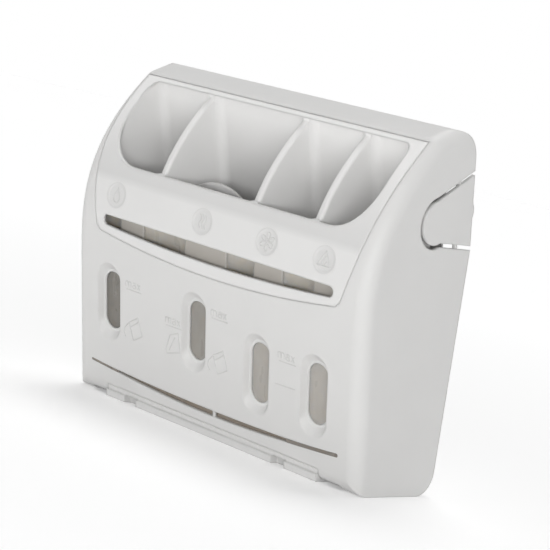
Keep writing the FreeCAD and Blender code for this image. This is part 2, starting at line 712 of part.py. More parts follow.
def standing(shapes):
    """Turns the panel's frame so that the base lies level, with the origin under the middle."""
    turn = Rotation(Vector(1, 0, 0), OVERHANG)
    whole = Part.makeCompound(list(shapes.values()))
    whole.Placement = Placement(Vector(0, 0, 0), turn)
    reach = whole.optimalBoundingBox()
    shift = place(-(reach.XMin + reach.XMax) / 2, -(reach.YMin + reach.YMax) / 2, -reach.ZMin)
    return Placement(shift, turn)


def main():
    os.makedirs("parts", exist_ok=True)
    shapes = pieces()
    stand = standing(shapes)
    for name, shape in shapes.items():
        shape.Placement = stand.multiply(shape.Placement)
        shape.exportStep("parts/" + name + ".step")
        b = shape.optimalBoundingBox()
        print(name, shape.isValid(), len(shape.Solids), round(shape.Volume), "mm3",
              [round(v, 1) for v in (b.XMin, b.XMax, b.YMin, b.YMax, b.ZMin, b.ZMax)])
    print("stand", stand)


if __name__ == "__main__":
    main()
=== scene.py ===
# %% [markdown]
# # A detergent dispenser in pale moulded plastic
# This dispenser hangs in the lid of a top-loading washer: four pockets take powder and liquid, and a
# milky tank behind the panel holds them. The exact solids come from the packed frame, so the lesson
# adds what a solid model doesn't hold: finishes, moulded marks, a floor, light and a camera.

# %% Load the frame
import json
import math

import bmesh
import bpy
import numpy as np
from mathutils import Matrix, Vector


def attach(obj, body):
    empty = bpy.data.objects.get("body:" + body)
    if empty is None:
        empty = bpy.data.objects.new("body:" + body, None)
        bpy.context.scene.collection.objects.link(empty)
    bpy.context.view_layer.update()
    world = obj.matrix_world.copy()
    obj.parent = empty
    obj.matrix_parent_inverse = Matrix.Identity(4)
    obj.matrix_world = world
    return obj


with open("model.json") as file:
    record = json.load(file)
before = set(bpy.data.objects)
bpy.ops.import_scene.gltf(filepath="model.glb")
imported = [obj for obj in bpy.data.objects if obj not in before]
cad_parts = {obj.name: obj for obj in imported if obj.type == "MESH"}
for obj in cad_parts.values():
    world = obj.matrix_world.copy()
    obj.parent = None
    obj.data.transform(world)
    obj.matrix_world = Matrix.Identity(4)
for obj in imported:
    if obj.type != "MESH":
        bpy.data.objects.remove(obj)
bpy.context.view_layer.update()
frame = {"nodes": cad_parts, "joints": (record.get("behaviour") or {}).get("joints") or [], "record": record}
bpy.context.scene.view_settings.view_transform = "Standard"
print("solids:", ", ".join(sorted(frame["nodes"])))

# %% [markdown]
# ## The panel's own frame
# The housing was drawn with its panel upright and then leaned forward to stand on its base. Marks on
# the panel are easiest to place in millimetres along and up the panel, so a small function turns such
# points into the standing frame. The lean is read from a tab's hinge, and the place from a hinge pin.

# %% From the panel to the standing frame
PIN_ON_PANEL = np.array([100.5, 8.0, 2.2])

hinge = next(j for j in frame["joints"] if j["name"] == "release_right")
pin = next(m for m in frame["record"]["mounts"] if m["name"] == "hinge_pin_right")
lean = math.atan2(hinge["axis"][1], -hinge["axis"][2])
lean_turn = np.array(Matrix.Rotation(lean, 3, "X"))
panel_foot = np.array(pin["pos_m"]) - lean_turn @ PIN_ON_PANEL / 1000


def stand(points):
    """Panel millimetres to standing metres: turned by the lean and moved to the panel's foot."""
    return np.asarray(points, float) / 1000 @ lean_turn.T + panel_foot


print("lean", round(math.degrees(lean), 2), "degrees, panel's foot", panel_foot.round(5))

# %% [markdown]
# ## Shader sums written as Python
# A finish is a network of nodes. Wired by hand it is long to read, so one small class wraps a socket:
# plus, minus and times add the Math nodes, and one method adds any other kind of node.


# %% A socket that can be used in sums
class Wire:
    """An output socket of a finish; operators add Math nodes and make adds any other node."""

    def __init__(self, tree, socket=None):
        self.tree = tree
        self.socket = socket

    def make(self, kind, settings=None, inputs=None, output=0):
        node = self.tree.nodes.new(kind)
        for name, value in (settings or {}).items():
            if name == "stops":
                ramp = node.color_ramp.elements
                while len(ramp) < len(value):
                    ramp.new(1.0)
                for stop, (place, grey) in zip(ramp, value):
                    stop.position = place
                    stop.color = (grey, grey, grey, 1)
            else:
                setattr(node, name, value)
        for name, value in (inputs or {}).items():
            if isinstance(value, Wire):
                self.tree.links.new(value.socket, node.inputs[name])
            else:
                node.inputs[name].default_value = value
        return Wire(self.tree, node.outputs[output] if len(node.outputs) else None)

    def sum(self, operation, a, b):
        return self.make("ShaderNodeMath", {"operation": operation}, {0: a, 1: b})

    def __add__(self, other):
        return self.sum("ADD", self, other)

    def __sub__(self, other):
        return self.sum("SUBTRACT", self, other)

    def __rsub__(self, other):
        return self.sum("SUBTRACT", other, self)

    def __mul__(self, other):
        return self.sum("MULTIPLY", self, other)

    __radd__ = __add__
    __rmul__ = __mul__


def start_finish(name):
    """A new finish with an empty network, and a wire to build it from."""
    finish = bpy.data.materials.new(name)
    finish.use_nodes = True
    finish.node_tree.nodes.clear()
    return finish, Wire(finish.node_tree)


def blend_colours(wire, share, first, second):
    """Colour between two, by a share from zero to one."""
    colours = {0: share, 6: first, 7: second}
    return wire.make("ShaderNodeMix", {"data_type": "RGBA"}, colours, output=2)


print("operators:", [n for n in vars(Wire) if n.startswith("__r")])

# %% [markdown]
# ## Tones by the place on the panel
# Some finishes change with the place: inside the pockets the hopper's plastic is painted paler than
# its face, as painted light, and low in the pockets it falls to a darker copy, as painted shade, less
# on faces turned to the right; the spouts below them are a little brown. A finish reads the standing
# frame, so its place is first turned back by the lean. Each tone is then a rise between two distances,
# in metres behind the panel or up it.

# %% Places on the panel and the tones inside
SKIN_DEPTH = (0.0075, 0.0095)
SPOUT_TOP = (0.134, 0.130)
SPOUT_REAR = (0.034, 0.030)
POCKET_SHADE_FALL = (0.200, 0.140)
# Painted shade low in the pockets: their inside tone falls to this share of itself.
POCKET_SHADE = 0.70


def panel_places(wire, spot):
    """Wires for the place along, behind and up the panel: the standing frame, turned back."""
    across, depth, height = [wire.make("ShaderNodeSeparateXYZ", {}, {"Vector": spot}, output=axis)
                             for axis in "XYZ"]
    turned = math.cos(lean), math.sin(lean)
    foot = float(panel_foot[1])
    behind = depth * turned[0] + height * turned[1] - foot * turned[0]
    above = height * turned[0] - depth * turned[1] + foot * turned[1]
    return across, behind, above


def rising(wire, value, start, end):
    """Zero before the start, one after the end."""
    return wire.make("ShaderNodeMapRange", {}, {"Value": value, "From Min": start, "From Max": end})


def inside_light_and_shade(wire, spot, body, inside, spouts):
    """Tones behind the face: pockets painted paler as painted light, painted shade low on their walls except
    where they face right, and spouts below.
    """
    behind, above = panel_places(wire, spot)[1:]
    deep = rising(wire, behind, *SKIN_DEPTH)
    spout = rising(wire, above, *SPOUT_TOP) * rising(wire, behind, *SPOUT_REAR)
    # Painted light and shade: the inside is paler than the face, and low down it falls to a darker copy,
    # less on faces turned to the right.
    shaded_inside = tuple(POCKET_SHADE * tone for tone in inside)
    normal = wire.make("ShaderNodeTexCoord", output="Normal")
    sideways = wire.make("ShaderNodeSeparateXYZ", {}, {"Vector": normal}, output="X")
    painted_shade = rising(wire, above, *POCKET_SHADE_FALL) * (1 - wire.sum("MAXIMUM", sideways, 0.0))
    pocket = blend_colours(wire, painted_shade, (*inside, 1), (*shaded_inside, 1))
    hollow = blend_colours(wire, spout, pocket, (*spouts, 1))
    return blend_colours(wire, deep, body, hollow)


print("pockets fall to", POCKET_SHADE, "of their tone between", POCKET_SHADE_FALL, "m up the panel")

# %% [markdown]
# ## Pale satin plastic
# The housing is moulded in a warm grey-white. The tool of such a piece has a fine grain, and cooling
# leaves broad, faint clouds. Edges come out of the tool slightly round. A Bevel node rounds the edges in
# the shading alone, so the exact solids stay as they are, and the same node tells where an edge is,
# because there its normal differs from the flat one. Edges are rubbed a little smoother and paler.

# %% Finish of the moulded pieces
EDGE_TURN = (0.99, 0.8)
EDGE_RUB, EDGE_PALER, EDGE_SMOOTHER = 0.6, 1.03, 0.06
CLOUD_SCALE, CLOUD_GLOSS = 26.0, 0.10
GRAIN_SCALE, GRAIN_STRENGTH, GRAIN_HEIGHT = 2400.0, 0.05, 0.0001


def moulded_plastic(name, pale, cloud, roughness, edge_mm, inside=None, spouts=None):
    """Grain of about 0.4 mm, clouds of about 4 cm, edges rounded in the shading, painted light and shade
    inside.
    """
    finish, wire = start_finish(name)
    spot = wire.make("ShaderNodeTexCoord", output="Object")
    clouds = wire.make("ShaderNodeTexNoise", {}, {"Vector": spot, "Scale": CLOUD_SCALE, "Detail": 3.0})
    grain = wire.make("ShaderNodeTexNoise", {}, {"Vector": spot, "Scale": GRAIN_SCALE, "Detail": 2.0})
    rounded = wire.make("ShaderNodeBevel", {"samples": 6}, {"Radius": edge_mm / 1000})
    flat = wire.make("ShaderNodeNewGeometry", output="Normal")
    along = wire.make("ShaderNodeVectorMath", {"operation": "DOT_PRODUCT"},
                      {0: rounded, 1: flat}, output="Value")
    edge = rising(wire, along, *EDGE_TURN)
    body = blend_colours(wire, clouds, (*pale, 1), (*cloud, 1))
    if inside:
        body = inside_light_and_shade(wire, spot, body, inside, spouts)
    rubbed = tuple(min(1.0, c * EDGE_PALER) for c in pale)
    colour = blend_colours(wire, edge * EDGE_RUB, body, (*rubbed, 1))
    gloss = roughness + (clouds - 0.5) * CLOUD_GLOSS - edge * EDGE_SMOOTHER
    normal = wire.make("ShaderNodeBump", {}, {"Strength": GRAIN_STRENGTH, "Distance": GRAIN_HEIGHT,
                                              "Height": grain, "Normal": rounded})
    shader = wire.make("ShaderNodeBsdfPrincipled", {}, {"Base Color": colour, "Roughness": gloss,
                                                        "Specular IOR Level": 0.4, "Normal": normal})
    wire.make("ShaderNodeOutputMaterial", {}, {"Surface": shader})
    return finish


shell_satin = moulded_plastic("shell_satin", pale=(0.745, 0.741, 0.731), cloud=(0.71, 0.707, 0.698),
                              roughness=0.46, edge_mm=1.8)
# The pockets' inside tone is paler than the hopper's face: painted light.
hopper_satin = moulded_plastic("hopper_satin", pale=(0.79, 0.786, 0.776), cloud=(0.75, 0.747, 0.738),
                               roughness=0.42, edge_mm=2.0,
                               inside=(0.87, 0.866, 0.856), spouts=(0.55, 0.522, 0.48))
# The marks are the housing's own plastic in a darker copy: painted shade on their relief.
mark_satin_painted_shade = moulded_plastic("mark_satin_painted_shade", pale=(0.67, 0.667, 0.658), cloud=(0.64, 0.637, 0.628),
                             roughness=0.46, edge_mm=0.5)
print("finishes:", shell_satin.name, hopper_satin.name, mark_satin_painted_shade.name)

# %% [markdown]
# ## Milky tank plastic
# Behind the windows stands the tank, in a milky plastic that has yellowed. Old powder and softener
# leave each chamber in another tone, darkest on the left. A ramp along X gives the tones, and noise
# that is stretched upright gives the runs where liquid has dried. Nothing shows of its rear, which is
# taken to have stayed pale. The plastic is also a little see-through, so light sinks in.

# %% Finish of the tank and what stands in it
FRONT_WALL = (0.009, 0.016)
LEDGE_TOP = (0.033, 0.027)
HALF_WIDTH = 0.128
CHAMBER_TONES = [(0.0, 1.0), (0.24, 0.95), (0.28, 0.62), (0.55, 0.55), (0.62, 0.22), (1.0, 0.12)]
TONE_SHARE, RUN_SHARE, RUN_GLOSS = 0.86, 0.28, 0.2
RUN_SCALE = (160.0, 160.0, 9.0)
REAR_RUNS = 0.94
TANK_ROUGHNESS = 0.30


def stained_tank(name, clear, stained, ledge_and_slot_shade, rear):
    """Tone by the chamber along X, upright runs of dried liquid, a dark ledge that is partly painted slot
    shade, and the rear.
    """
    finish, wire = start_finish(name)
    spot = wire.make("ShaderNodeTexCoord", output="Object")
    across, behind, above = panel_places(wire, spot)
    along = rising(wire, across, -HALF_WIDTH, HALF_WIDTH)
    tone = wire.make("ShaderNodeValToRGB", {"stops": CHAMBER_TONES}, {"Fac": along})
    upright = wire.make("ShaderNodeMapping", {}, {"Vector": spot, "Scale": RUN_SCALE})
    runs = wire.make("ShaderNodeTexNoise", {}, {"Vector": upright, "Scale": 1.0, "Detail": 3.0})
    share = tone * TONE_SHARE + (runs - 0.5) * RUN_SHARE
    chambers = blend_colours(wire, share, (*clear, 1), (*stained, 1))
    # Low on the front wall, the ledge behind the slot is dark brown: partly the tank's own brown, partly
    # painted shade of the narrow slot.
    low = rising(wire, above, *LEDGE_TOP)
    fronts = blend_colours(wire, low, chambers, (*ledge_and_slot_shade, 1))
    milky = blend_colours(wire, runs, (*rear, 1), tuple(REAR_RUNS * c for c in rear) + (1,))
    colour = blend_colours(wire, rising(wire, behind, *FRONT_WALL), fronts, milky)
    gloss = TANK_ROUGHNESS + (runs - 0.5) * RUN_GLOSS
    shader = wire.make("ShaderNodeBsdfPrincipled", {},
                       {"Base Color": colour, "Roughness": gloss, "Subsurface Weight": 0.8,
                        "Subsurface Radius": (1.0, 0.85, 0.65), "Subsurface Scale": 0.004})
    wire.make("ShaderNodeOutputMaterial", {}, {"Surface": shader})
    return finish


tank_milky = stained_tank("tank_milky", clear=(0.51, 0.485, 0.45), stained=(0.155, 0.145, 0.127),
                          ledge_and_slot_shade=(0.28, 0.24, 0.20), rear=(0.80, 0.795, 0.78))
insert_milky = stained_tank("insert_milky", clear=(0.78, 0.76, 0.72), stained=(0.60, 0.57, 0.52),
                            ledge_and_slot_shade=(0.60, 0.57, 0.52), rear=(0.80, 0.79, 0.77))
finishes = {"front_shell": shell_satin, "hopper": hopper_satin, "release_tab_left": shell_satin,
            "release_tab_right": shell_satin, "hinge_rail": shell_satin, "rear_cover": shell_satin,
            "tank": tank_milky, "wash_partition": hopper_satin,
            "softener_siphon_cap": insert_milky, "bleach_siphon_cap": insert_milky}
for node_name, finish in finishes.items():
    for material_slot in frame["nodes"][node_name].material_slots:
        material_slot.material = finish
print("dressed", len(finishes), "solids")

# %% [markdown]
# ## A stroke of relief
# The fill marks and the signs in the round fields stand a few tenths of a millimetre proud. Each is
# drawn with strokes, as with a pen: a half-round profile carried along a flat path. The path is first
# divided evenly, and its two ends shrink to a point along a quarter circle, so every stroke is closed.


# %% The stroke as a surface
def even_path(points, step):
    """The same path with points a step apart, counted along its length."""
    points = np.asarray(points, float)
    length = np.concatenate([[0], np.cumsum(np.linalg.norm(np.diff(points, axis=0), axis=1))])
    places = np.linspace(0, length[-1], max(int(length[-1] / step), 6))
    return np.stack([np.interp(places, length, points[:, k]) for k in (0, 1)], axis=1), places


def stroke(points, width, lift, sink=0.3, ring=False, step=0.3, around=10):
    """Across the path: half the width times a cosine. Upwards: lift times a sine, sink below zero."""
    path, places = even_path(points, step)
    if ring:
        tangent = np.roll(path, -1, axis=0)[:-1] - np.roll(path[:-1], 1, axis=0)
        path = path[:-1]
        swell = np.ones(len(path))
    else:
        tangent = np.gradient(path, axis=0)
        inside = np.minimum(places, places[-1] - places) / (width / 2)
        swell = np.sqrt(1 - (1 - np.minimum(inside, 1)) ** 2)
    tangent /= np.linalg.norm(tangent, axis=1)[:, None]
    across = np.stack([-tangent[:, 1], tangent[:, 0]], axis=1)
    angle = np.linspace(0, 2 * np.pi, around, endpoint=False)
    side = np.cos(angle) * width / 2
    height = np.where(np.sin(angle) > 0, lift, sink) * np.sin(angle)
    flat = path[:, None, :] + across[:, None, :] * (side * swell[:, None])[:, :, None]
    up = height * swell[:, None]
    return np.concatenate([flat, up[:, :, None]], axis=2), ring


print("a stroke of 10 mm has", stroke([(0, 0), (10, 0)], 0.7, 0.3)[0].shape, "points")

# %% [markdown]
# ## From strokes to one mesh
# Each stroke is a grid that closes on itself around the profile, and around the path where it is a
# ring. The faces follow from the grid's numbering. The points at the two ends fall together, so they
# are merged, and the normals are turned outwards once for all.


# %% Joining grids into a piece
def grid_faces(rows, columns, ring, first):
    """Four corners of each cell; columns always wrap round, rows only for a ring."""
    number = np.arange(rows * columns).reshape(rows, columns) + first
    below = number if ring else number[:-1]
    above = np.roll(number, -1, axis=0) if ring else number[1:]
    corners = [below, np.roll(below, -1, axis=1), np.roll(above, -1, axis=1), above]
    return np.stack(corners, axis=-1).reshape(-1, 4)


def piece_from(name, grids, finish, body="dispenser"):
    """One closed piece from several grids of points, in metres, riding on a body."""
    points = np.concatenate([grid.reshape(-1, 3) for grid, ring in grids])
    firsts = np.cumsum([0] + [grid.shape[0] * grid.shape[1] for grid, ring in grids])
    faces = np.concatenate([grid_faces(*grid.shape[:2], ring, first)
                            for (grid, ring), first in zip(grids, firsts)])
    mesh = bpy.data.meshes.new(name)
    mesh.from_pydata(points, [], faces.tolist())
    work = bmesh.new()
    work.from_mesh(mesh)
    bmesh.ops.remove_doubles(work, verts=work.verts, dist=1e-7)
    bmesh.ops.recalc_face_normals(work, faces=work.faces)
    work.to_mesh(mesh)
    work.free()
    mesh.shade_smooth()
    mesh.materials.append(finish)
    piece = bpy.data.objects.new(name, mesh)
    bpy.context.scene.collection.objects.link(piece)
    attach(piece, body)
    print(name, len(mesh.polygons), "faces")


def on_panel(grid, place):
    """A flat grid laid on the upright panel: place is where its origin goes, along X and up."""
    return stand(np.stack([grid[..., 0] + place[0], -grid[..., 2], grid[..., 1] + place[1]], axis=-1))


print("a ring of 5 points round a profile of 4 has", len(grid_faces(5, 4, True, 0)), "faces")

# %% [markdown]
# ## Fill marks
# Beside the windows stand the letters max over a line, so that nobody overfills a chamber. They are
# drawn with a few strokes each on a grid of one letter height. A font would be quicker, but such marks
# are cut into the tool with a round cutter, which gives strokes of one width with round ends.

# %% Letters and lines of the fill marks
LETTER_HEIGHT = 4.1
LETTER_STROKE = 0.75
MARK_LIFT = 0.38
MARK_PLACES = [(-77.7, 84.5), (1.8, 85.4), (-39.7, 69.3), (60.5, 73.1)]
LINE_DROP = 1.7
LINE_LENGTH = 15.0


def round_path(middle, radii, start, stop, count=24):
    """Part of an ellipse, from one angle to another in degrees."""
    angle = np.radians(np.linspace(start, stop, count))
    return np.asarray(middle) + np.stack([radii[0] * np.cos(angle), radii[1] * np.sin(angle)], axis=1)


def letter_paths():
    """Strokes of the letters m, a and x, in letter heights."""
    arch = round_path((0.3, 0.68), (0.3, 0.32), 180, 0)
    hump = np.concatenate([arch, [(0.6, 0.0)]])
    bowl = round_path((1.96, 0.3), (0.38, 0.3), 0, 360, 36)
    roof = np.concatenate([round_path((1.97, 0.68), (0.37, 0.32), 155, 0), [(2.34, 0.0)]])
    return [np.array([(0, 0), (0, 1.0)]), hump, hump + (0.6, 0), bowl, roof,
            np.array([(2.66, 0), (3.32, 1.0)]), np.array([(2.66, 1.0), (3.32, 0)])]


for number, place in enumerate(MARK_PLACES):
    strokes = [stroke(path * LETTER_HEIGHT, LETTER_STROKE, MARK_LIFT) for path in letter_paths()]
    under = [(0.4, -LINE_DROP), (LINE_LENGTH, -LINE_DROP)]
    strokes.append(stroke(under, LETTER_STROKE, MARK_LIFT))
    laid = [(on_panel(grid, place), ring) for grid, ring in strokes]
    piece_from(f"fill_mark_{number}", laid, mark_satin_painted_shade)

# %% [markdown]
# ## Pouring signs
# Small outlines below the fill marks tell what goes into a chamber: a tipped cup of powder beside the
# two powder windows, and a bottle for liquid. They are traced with the same round tool as the letters.
# A last short line marks the softener's lower dose.

# %% Cups, a bottle and a dose line
SIGN_STROKE = 0.75
SIGN_LIFT = 0.36
CUP_PLACES = [(-74.7, 59.6), (4.3, 58.5)]
CUP_RIM = [(0, 0), (8.7, 5.3), (12.7, -7.2), (4.4, -12.0), (0, 0)]
CUP_FILL = [(1.5, -3.1), (9.3, 2.6)]
CUP_STREAM = [(-0.6, -0.8), (-4.0, -4.6), (-4.9, -7.8), (-2.9, -11.6)]
BOTTLE_PLACE = (-38.0, 47.8)
BOTTLE = [(0, 0), (12.1, 3.5), (10.1, 16.6), (2.6, 13.5), (-1.0, 3.3), (0, 0)]
BOTTLE_SHADE = [(1.8, 2.6), (7.3, 13.4)]
DOSE_PLACE = (58.6, 55.3)
DOSE_LINE = [(0, 0), (16.8, 0.4)]


def sign(name, place, closed, open_paths):
    """Closed outlines and open strokes of one sign, laid on the panel."""
    strokes = [stroke(path, SIGN_STROKE, SIGN_LIFT, ring=True) for path in closed]
    strokes += [stroke(path, SIGN_STROKE, SIGN_LIFT) for path in open_paths]
    laid = [(on_panel(grid, place), ring) for grid, ring in strokes]
    piece_from(name, laid, mark_satin_painted_shade)


for number, place in enumerate(CUP_PLACES):
    sign(f"cup_sign_{number}", place, [CUP_RIM], [CUP_FILL, CUP_STREAM])
sign("bottle_sign", BOTTLE_PLACE, [BOTTLE], [BOTTLE_SHADE])
sign("dose_line", DOSE_PLACE, [], [DOSE_LINE])

# %% [markdown]
# ## The round fields
# Each pocket has a round field in the brow. A field is square to the brow, so it leans back more than
# the panel. Its place follows from the brow's cubic: depth 65 mm times the cube of the share of the
# rise, and the lean is that curve's slope.

# %% Laying a grid in a field
FIELD_PLACES = [-92.5, -12.6, 43.5, 90.6]
FIELD_HEIGHT = 143.6
FIELD_SINK = 0.7
BROW_FOOT, BROW_RISE, BROW_DEPTH = 91.0, 123.5, 65.0

rise_share = (FIELD_HEIGHT - BROW_FOOT) / BROW_RISE
field_lean = math.atan(3 * BROW_DEPTH * rise_share ** 2 / BROW_RISE)
field_depth = BROW_DEPTH * rise_share ** 3


def on_field(grid, x):
    """A flat grid laid in a round field: along X, up the brow's slope, and square to it outwards."""
    axes = np.array([[1, 0, 0], [0, math.sin(field_lean), math.cos(field_lean)],
                     [0, -math.cos(field_lean), math.sin(field_lean)]])
    seat = np.array([x, field_depth, FIELD_HEIGHT]) - axes[2] * FIELD_SINK
    return stand(grid @ axes + seat)


print("fields lean back", round(math.degrees(field_lean), 1), "degrees from the panel")

# %% [markdown]
# ## Signs in the round fields
# The signs tell what a pocket takes: a drop for prewash, waves for the wash, a flower for softener and a
# striped triangle for bleach. Each could be a picture, but then it would be flat. So they are strokes
# again, along paths that short formulas give.

# %% A drop, waves, a flower and a triangle
FIELD_STROKE = 0.9
FIELD_LIFT = 0.45
DROP_HALF, DROP_REACH, DROP_POWER = 3.7, 5.0, 1.5
WAVE_REACH, WAVE_SWING, WAVE_LENGTH = 4.8, 0.7, 6.4
WAVE_PLACES = (-2.3, 0, 2.3)
PETAL_MIDDLE, PETAL_RADII, HEART_RADII = (0, 3.7), (1.35, 2.1), (0.9, 0.9)
TRIANGLE = np.array([(-0.87, -0.5), (0.87, -0.5), (0, 1), (-0.87, -0.5)])
TRIANGLE_REACH, TRIANGLE_DROP = 6.2, 0.8
STRIPES = [[(-2.0, -3.6), (0.7, 2.4)], [(0.5, -3.6), (1.9, -0.7)]]


def field_stroke(path, ring=False):
    """A stroke of the width and height that all signs in the fields have."""
    return stroke(path, FIELD_STROKE, FIELD_LIFT, ring=ring)


def drop():
    """Half width: a sine times the sine of half the angle to the power 1.5, which draws out a tip."""
    angle = np.linspace(0, 2 * np.pi, 60)
    half = DROP_HALF * np.sin(angle) * np.abs(np.sin(angle / 2)) ** DROP_POWER
    return field_stroke(np.stack([half, DROP_REACH * np.cos(angle)], axis=1), ring=True)


def wave(x):
    """Upright line that swings to both sides as a sine."""
    height = np.linspace(-WAVE_REACH, WAVE_REACH, 50)
    swing = WAVE_SWING * np.sin(2 * np.pi * height / WAVE_LENGTH)
    return field_stroke(np.stack([x + swing, height], axis=1))


def petal(turn):
    """Ellipse with its middle off the centre, turned about it."""
    flat = round_path(PETAL_MIDDLE, PETAL_RADII, 0, 360, 40)
    turned = np.array([[math.cos(turn), -math.sin(turn)], [math.sin(turn), math.cos(turn)]])
    return field_stroke(flat @ turned.T, ring=True)


flower = [petal(turn) for turn in np.radians(np.arange(0, 360, 60))]
flower.append(field_stroke(round_path((0, 0), HEART_RADII, 0, 360, 30), ring=True))
bleach = [field_stroke(TRIANGLE * TRIANGLE_REACH - (0, TRIANGLE_DROP), ring=True)]
bleach += [field_stroke(path) for path in STRIPES]
field_signs = {"prewash_sign": [drop()], "wash_sign": [wave(x) for x in WAVE_PLACES],
               "softener_sign": flower, "bleach_sign": bleach}
for (sign_name, strokes), x in zip(field_signs.items(), FIELD_PLACES):
    laid = [(on_field(grid, x), ring) for grid, ring in strokes]
    piece_from(sign_name, laid, mark_satin_painted_shade)

# %% [markdown]
# ## Soft rims of the round fields
# On the real face a field isn't a sharp step but a shallow dish. A thin disc laid in each field gives
# that. It is a grid of rings and spokes. At its rim it follows the brow, which falls away with the
# square of the distance up the slope, and a smooth step leads down to the field's floor.

# %% A dish in each round field
DISH_RADIUS = 8.85
DISH_FLAT = 0.76
DISH_FLOOR = 0.62
DISH_LIP = 0.02
DISH_BACK = -0.05
BROW_BEND = 0.00484


def dish(rings=24, spokes=64):
    """Depth: the brow's own fall, plus the floor's depth times a smooth step from the rim inwards."""
    share = np.linspace(0, 1, rings)[:, None]
    angle = np.linspace(0, 2 * np.pi, spokes, endpoint=False)
    u = share * np.cos(angle) * DISH_RADIUS
    v = share * np.sin(angle) * DISH_RADIUS
    brow = DISH_LIP - BROW_BEND * v ** 2
    step = np.clip((1 - share) / (1 - DISH_FLAT), 0, 1)
    down = step * step * (3 - 2 * step)
    upper = np.stack([u, v, FIELD_SINK + brow + (-DISH_FLOOR - brow) * down], axis=-1)
    under = np.stack([u, v, np.full_like(u, DISH_BACK)], axis=-1)
    return np.concatenate([upper, under[::-1]])


# The dishes are the hopper's plastic in a darker copy: painted shade in the round fields.
painted_shade_satin = moulded_plastic("painted_shade_satin", pale=(0.72, 0.716, 0.707), cloud=(0.68, 0.677, 0.669),
                             roughness=0.44, edge_mm=0.3)
for sign_name, x in zip(field_signs, FIELD_PLACES):
    dish_name = sign_name.replace("sign", "dish")
    piece_from(dish_name, [(on_field(dish(), x), False)], painted_shade_satin)

# %% [markdown]
# ## Round the hopper's face
# A thin seam runs round the hopper's face. To put something in it, its course is needed: three arcs and
# a line, with two rounded corners. It could be read from the solid's edges, but a few lengths describe
# it as well and are easier to follow.

# %% The outline of the face
FACE_FOOT_HALF, FACE_FOOT_END, FACE_FOOT_MIDDLE = 106.5, 118.0, 109.0
FACE_TOP_HALF, FACE_TOP = 121.0, 212.5
FACE_SIDE_BOW = 4.0
CORNER_CUT = 6.7
TOP_STEPS = 60


def arc_through(first, middle, last, count=90):
    """Arc through three points: its centre is as far from each of them."""
    first, middle, last = np.array([first, middle, last], float)
    centre = np.linalg.solve(2 * np.array([middle - first, last - first]),
                             [middle @ middle - first @ first, last @ last - first @ first])
    angles = np.unwrap([math.atan2(*(point - centre)[::-1]) for point in (first, middle, last)])
    angle = np.linspace(angles[0], angles[2], count)
    return centre + np.linalg.norm(first - centre) * np.stack([np.cos(angle), np.sin(angle)], axis=1)


def trimmed(path, cut_first, cut_last):
    """The path without its first and last stretch, each given as a length."""
    length = np.concatenate([[0], np.cumsum(np.linalg.norm(np.diff(path, axis=0), axis=1))])
    places = np.linspace(cut_first, length[-1] - cut_last, len(path))
    return np.stack([np.interp(places, length, path[:, k]) for k in (0, 1)], axis=1)


def rounded_corner(before, corner, after, count=12):
    """Quadratic curve: weights (1 - t) squared, 2 t (1 - t) and t squared."""
    t = np.linspace(0, 1, count + 2)[1:-1, None]
    return (1 - t) ** 2 * before + 2 * t * (1 - t) * np.asarray(corner) + t ** 2 * after


def face_outline():
    """The outline as a closed path along X and up the panel."""
    half_way = (FACE_FOOT_END + FACE_TOP) / 2
    side = (FACE_FOOT_HALF + FACE_TOP_HALF) / 2 + FACE_SIDE_BOW
    right_foot = (FACE_FOOT_HALF, FACE_FOOT_END)
    left_foot = (-FACE_FOOT_HALF, FACE_FOOT_END)
    foot = arc_through(left_foot, (0, FACE_FOOT_MIDDLE), right_foot, 160)
    foot = trimmed(foot, CORNER_CUT, CORNER_CUT)
    right = trimmed(arc_through(right_foot, (side, half_way), (FACE_TOP_HALF, FACE_TOP)), CORNER_CUT, 0)
    corner = rounded_corner(foot[-1], right_foot, right[0])
    top = np.linspace((FACE_TOP_HALF, FACE_TOP), (-FACE_TOP_HALF, FACE_TOP), TOP_STEPS)[1:-1]
    mirror = np.array([-1, 1])
    return np.concatenate([foot, corner, right, top, right[::-1] * mirror, corner[::-1] * mirror])


print("outline of", len(face_outline()), "points")

# %% [markdown]
# ## The flange in the seam
# In the picture the seam is a shallow groove and not a black slit, as if a flange closed it from behind.
# The flange is a small oblong profile carried once round the outline, a little below the surface. Its
# depth follows the brow's cubic and the rounding of the housing's ends.

# %% The flange as one closed ring
END_ROUNDING, END_FLAT = 9.6, 118.4
FLANGE_SINK, FLANGE_HALF_HEIGHT, FLANGE_HALF_WIDTH = 0.75, 0.40, 0.55
PROFILE_CORNERS = [(1, 1), (1, -1), (-1, -1), (-1, 1)]


def flange():
    """The oblong profile in the plane of the surface's normal and of the direction across the path."""
    x, z = face_outline().T
    rise = np.clip((z - BROW_FOOT) / BROW_RISE, 0, None)
    slope = 3 * BROW_DEPTH * rise ** 2 / BROW_RISE
    outwards = np.stack([0 * x, -np.ones_like(x), slope], axis=1) / np.sqrt(1 + slope ** 2)[:, None]
    past = np.clip(np.abs(x) - END_FLAT, 0, None)
    sink = FLANGE_SINK + END_ROUNDING - np.sqrt(END_ROUNDING ** 2 - past ** 2)
    line = np.stack([x, BROW_DEPTH * rise ** 3, z], axis=1) - outwards * sink[:, None]
    tangent = np.roll(line, -1, axis=0) - np.roll(line, 1, axis=0)
    across = np.cross(outwards, tangent)
    across /= np.linalg.norm(across, axis=1)[:, None]
    ring = [line + outwards * a * FLANGE_HALF_HEIGHT + across * b * FLANGE_HALF_WIDTH
            for a, b in PROFILE_CORNERS]
    return stand(np.stack(ring, axis=1)), True


# The flange takes the same darker copy: painted shade in the seam's groove.
piece_from("seam_flange", [flange()], painted_shade_satin)

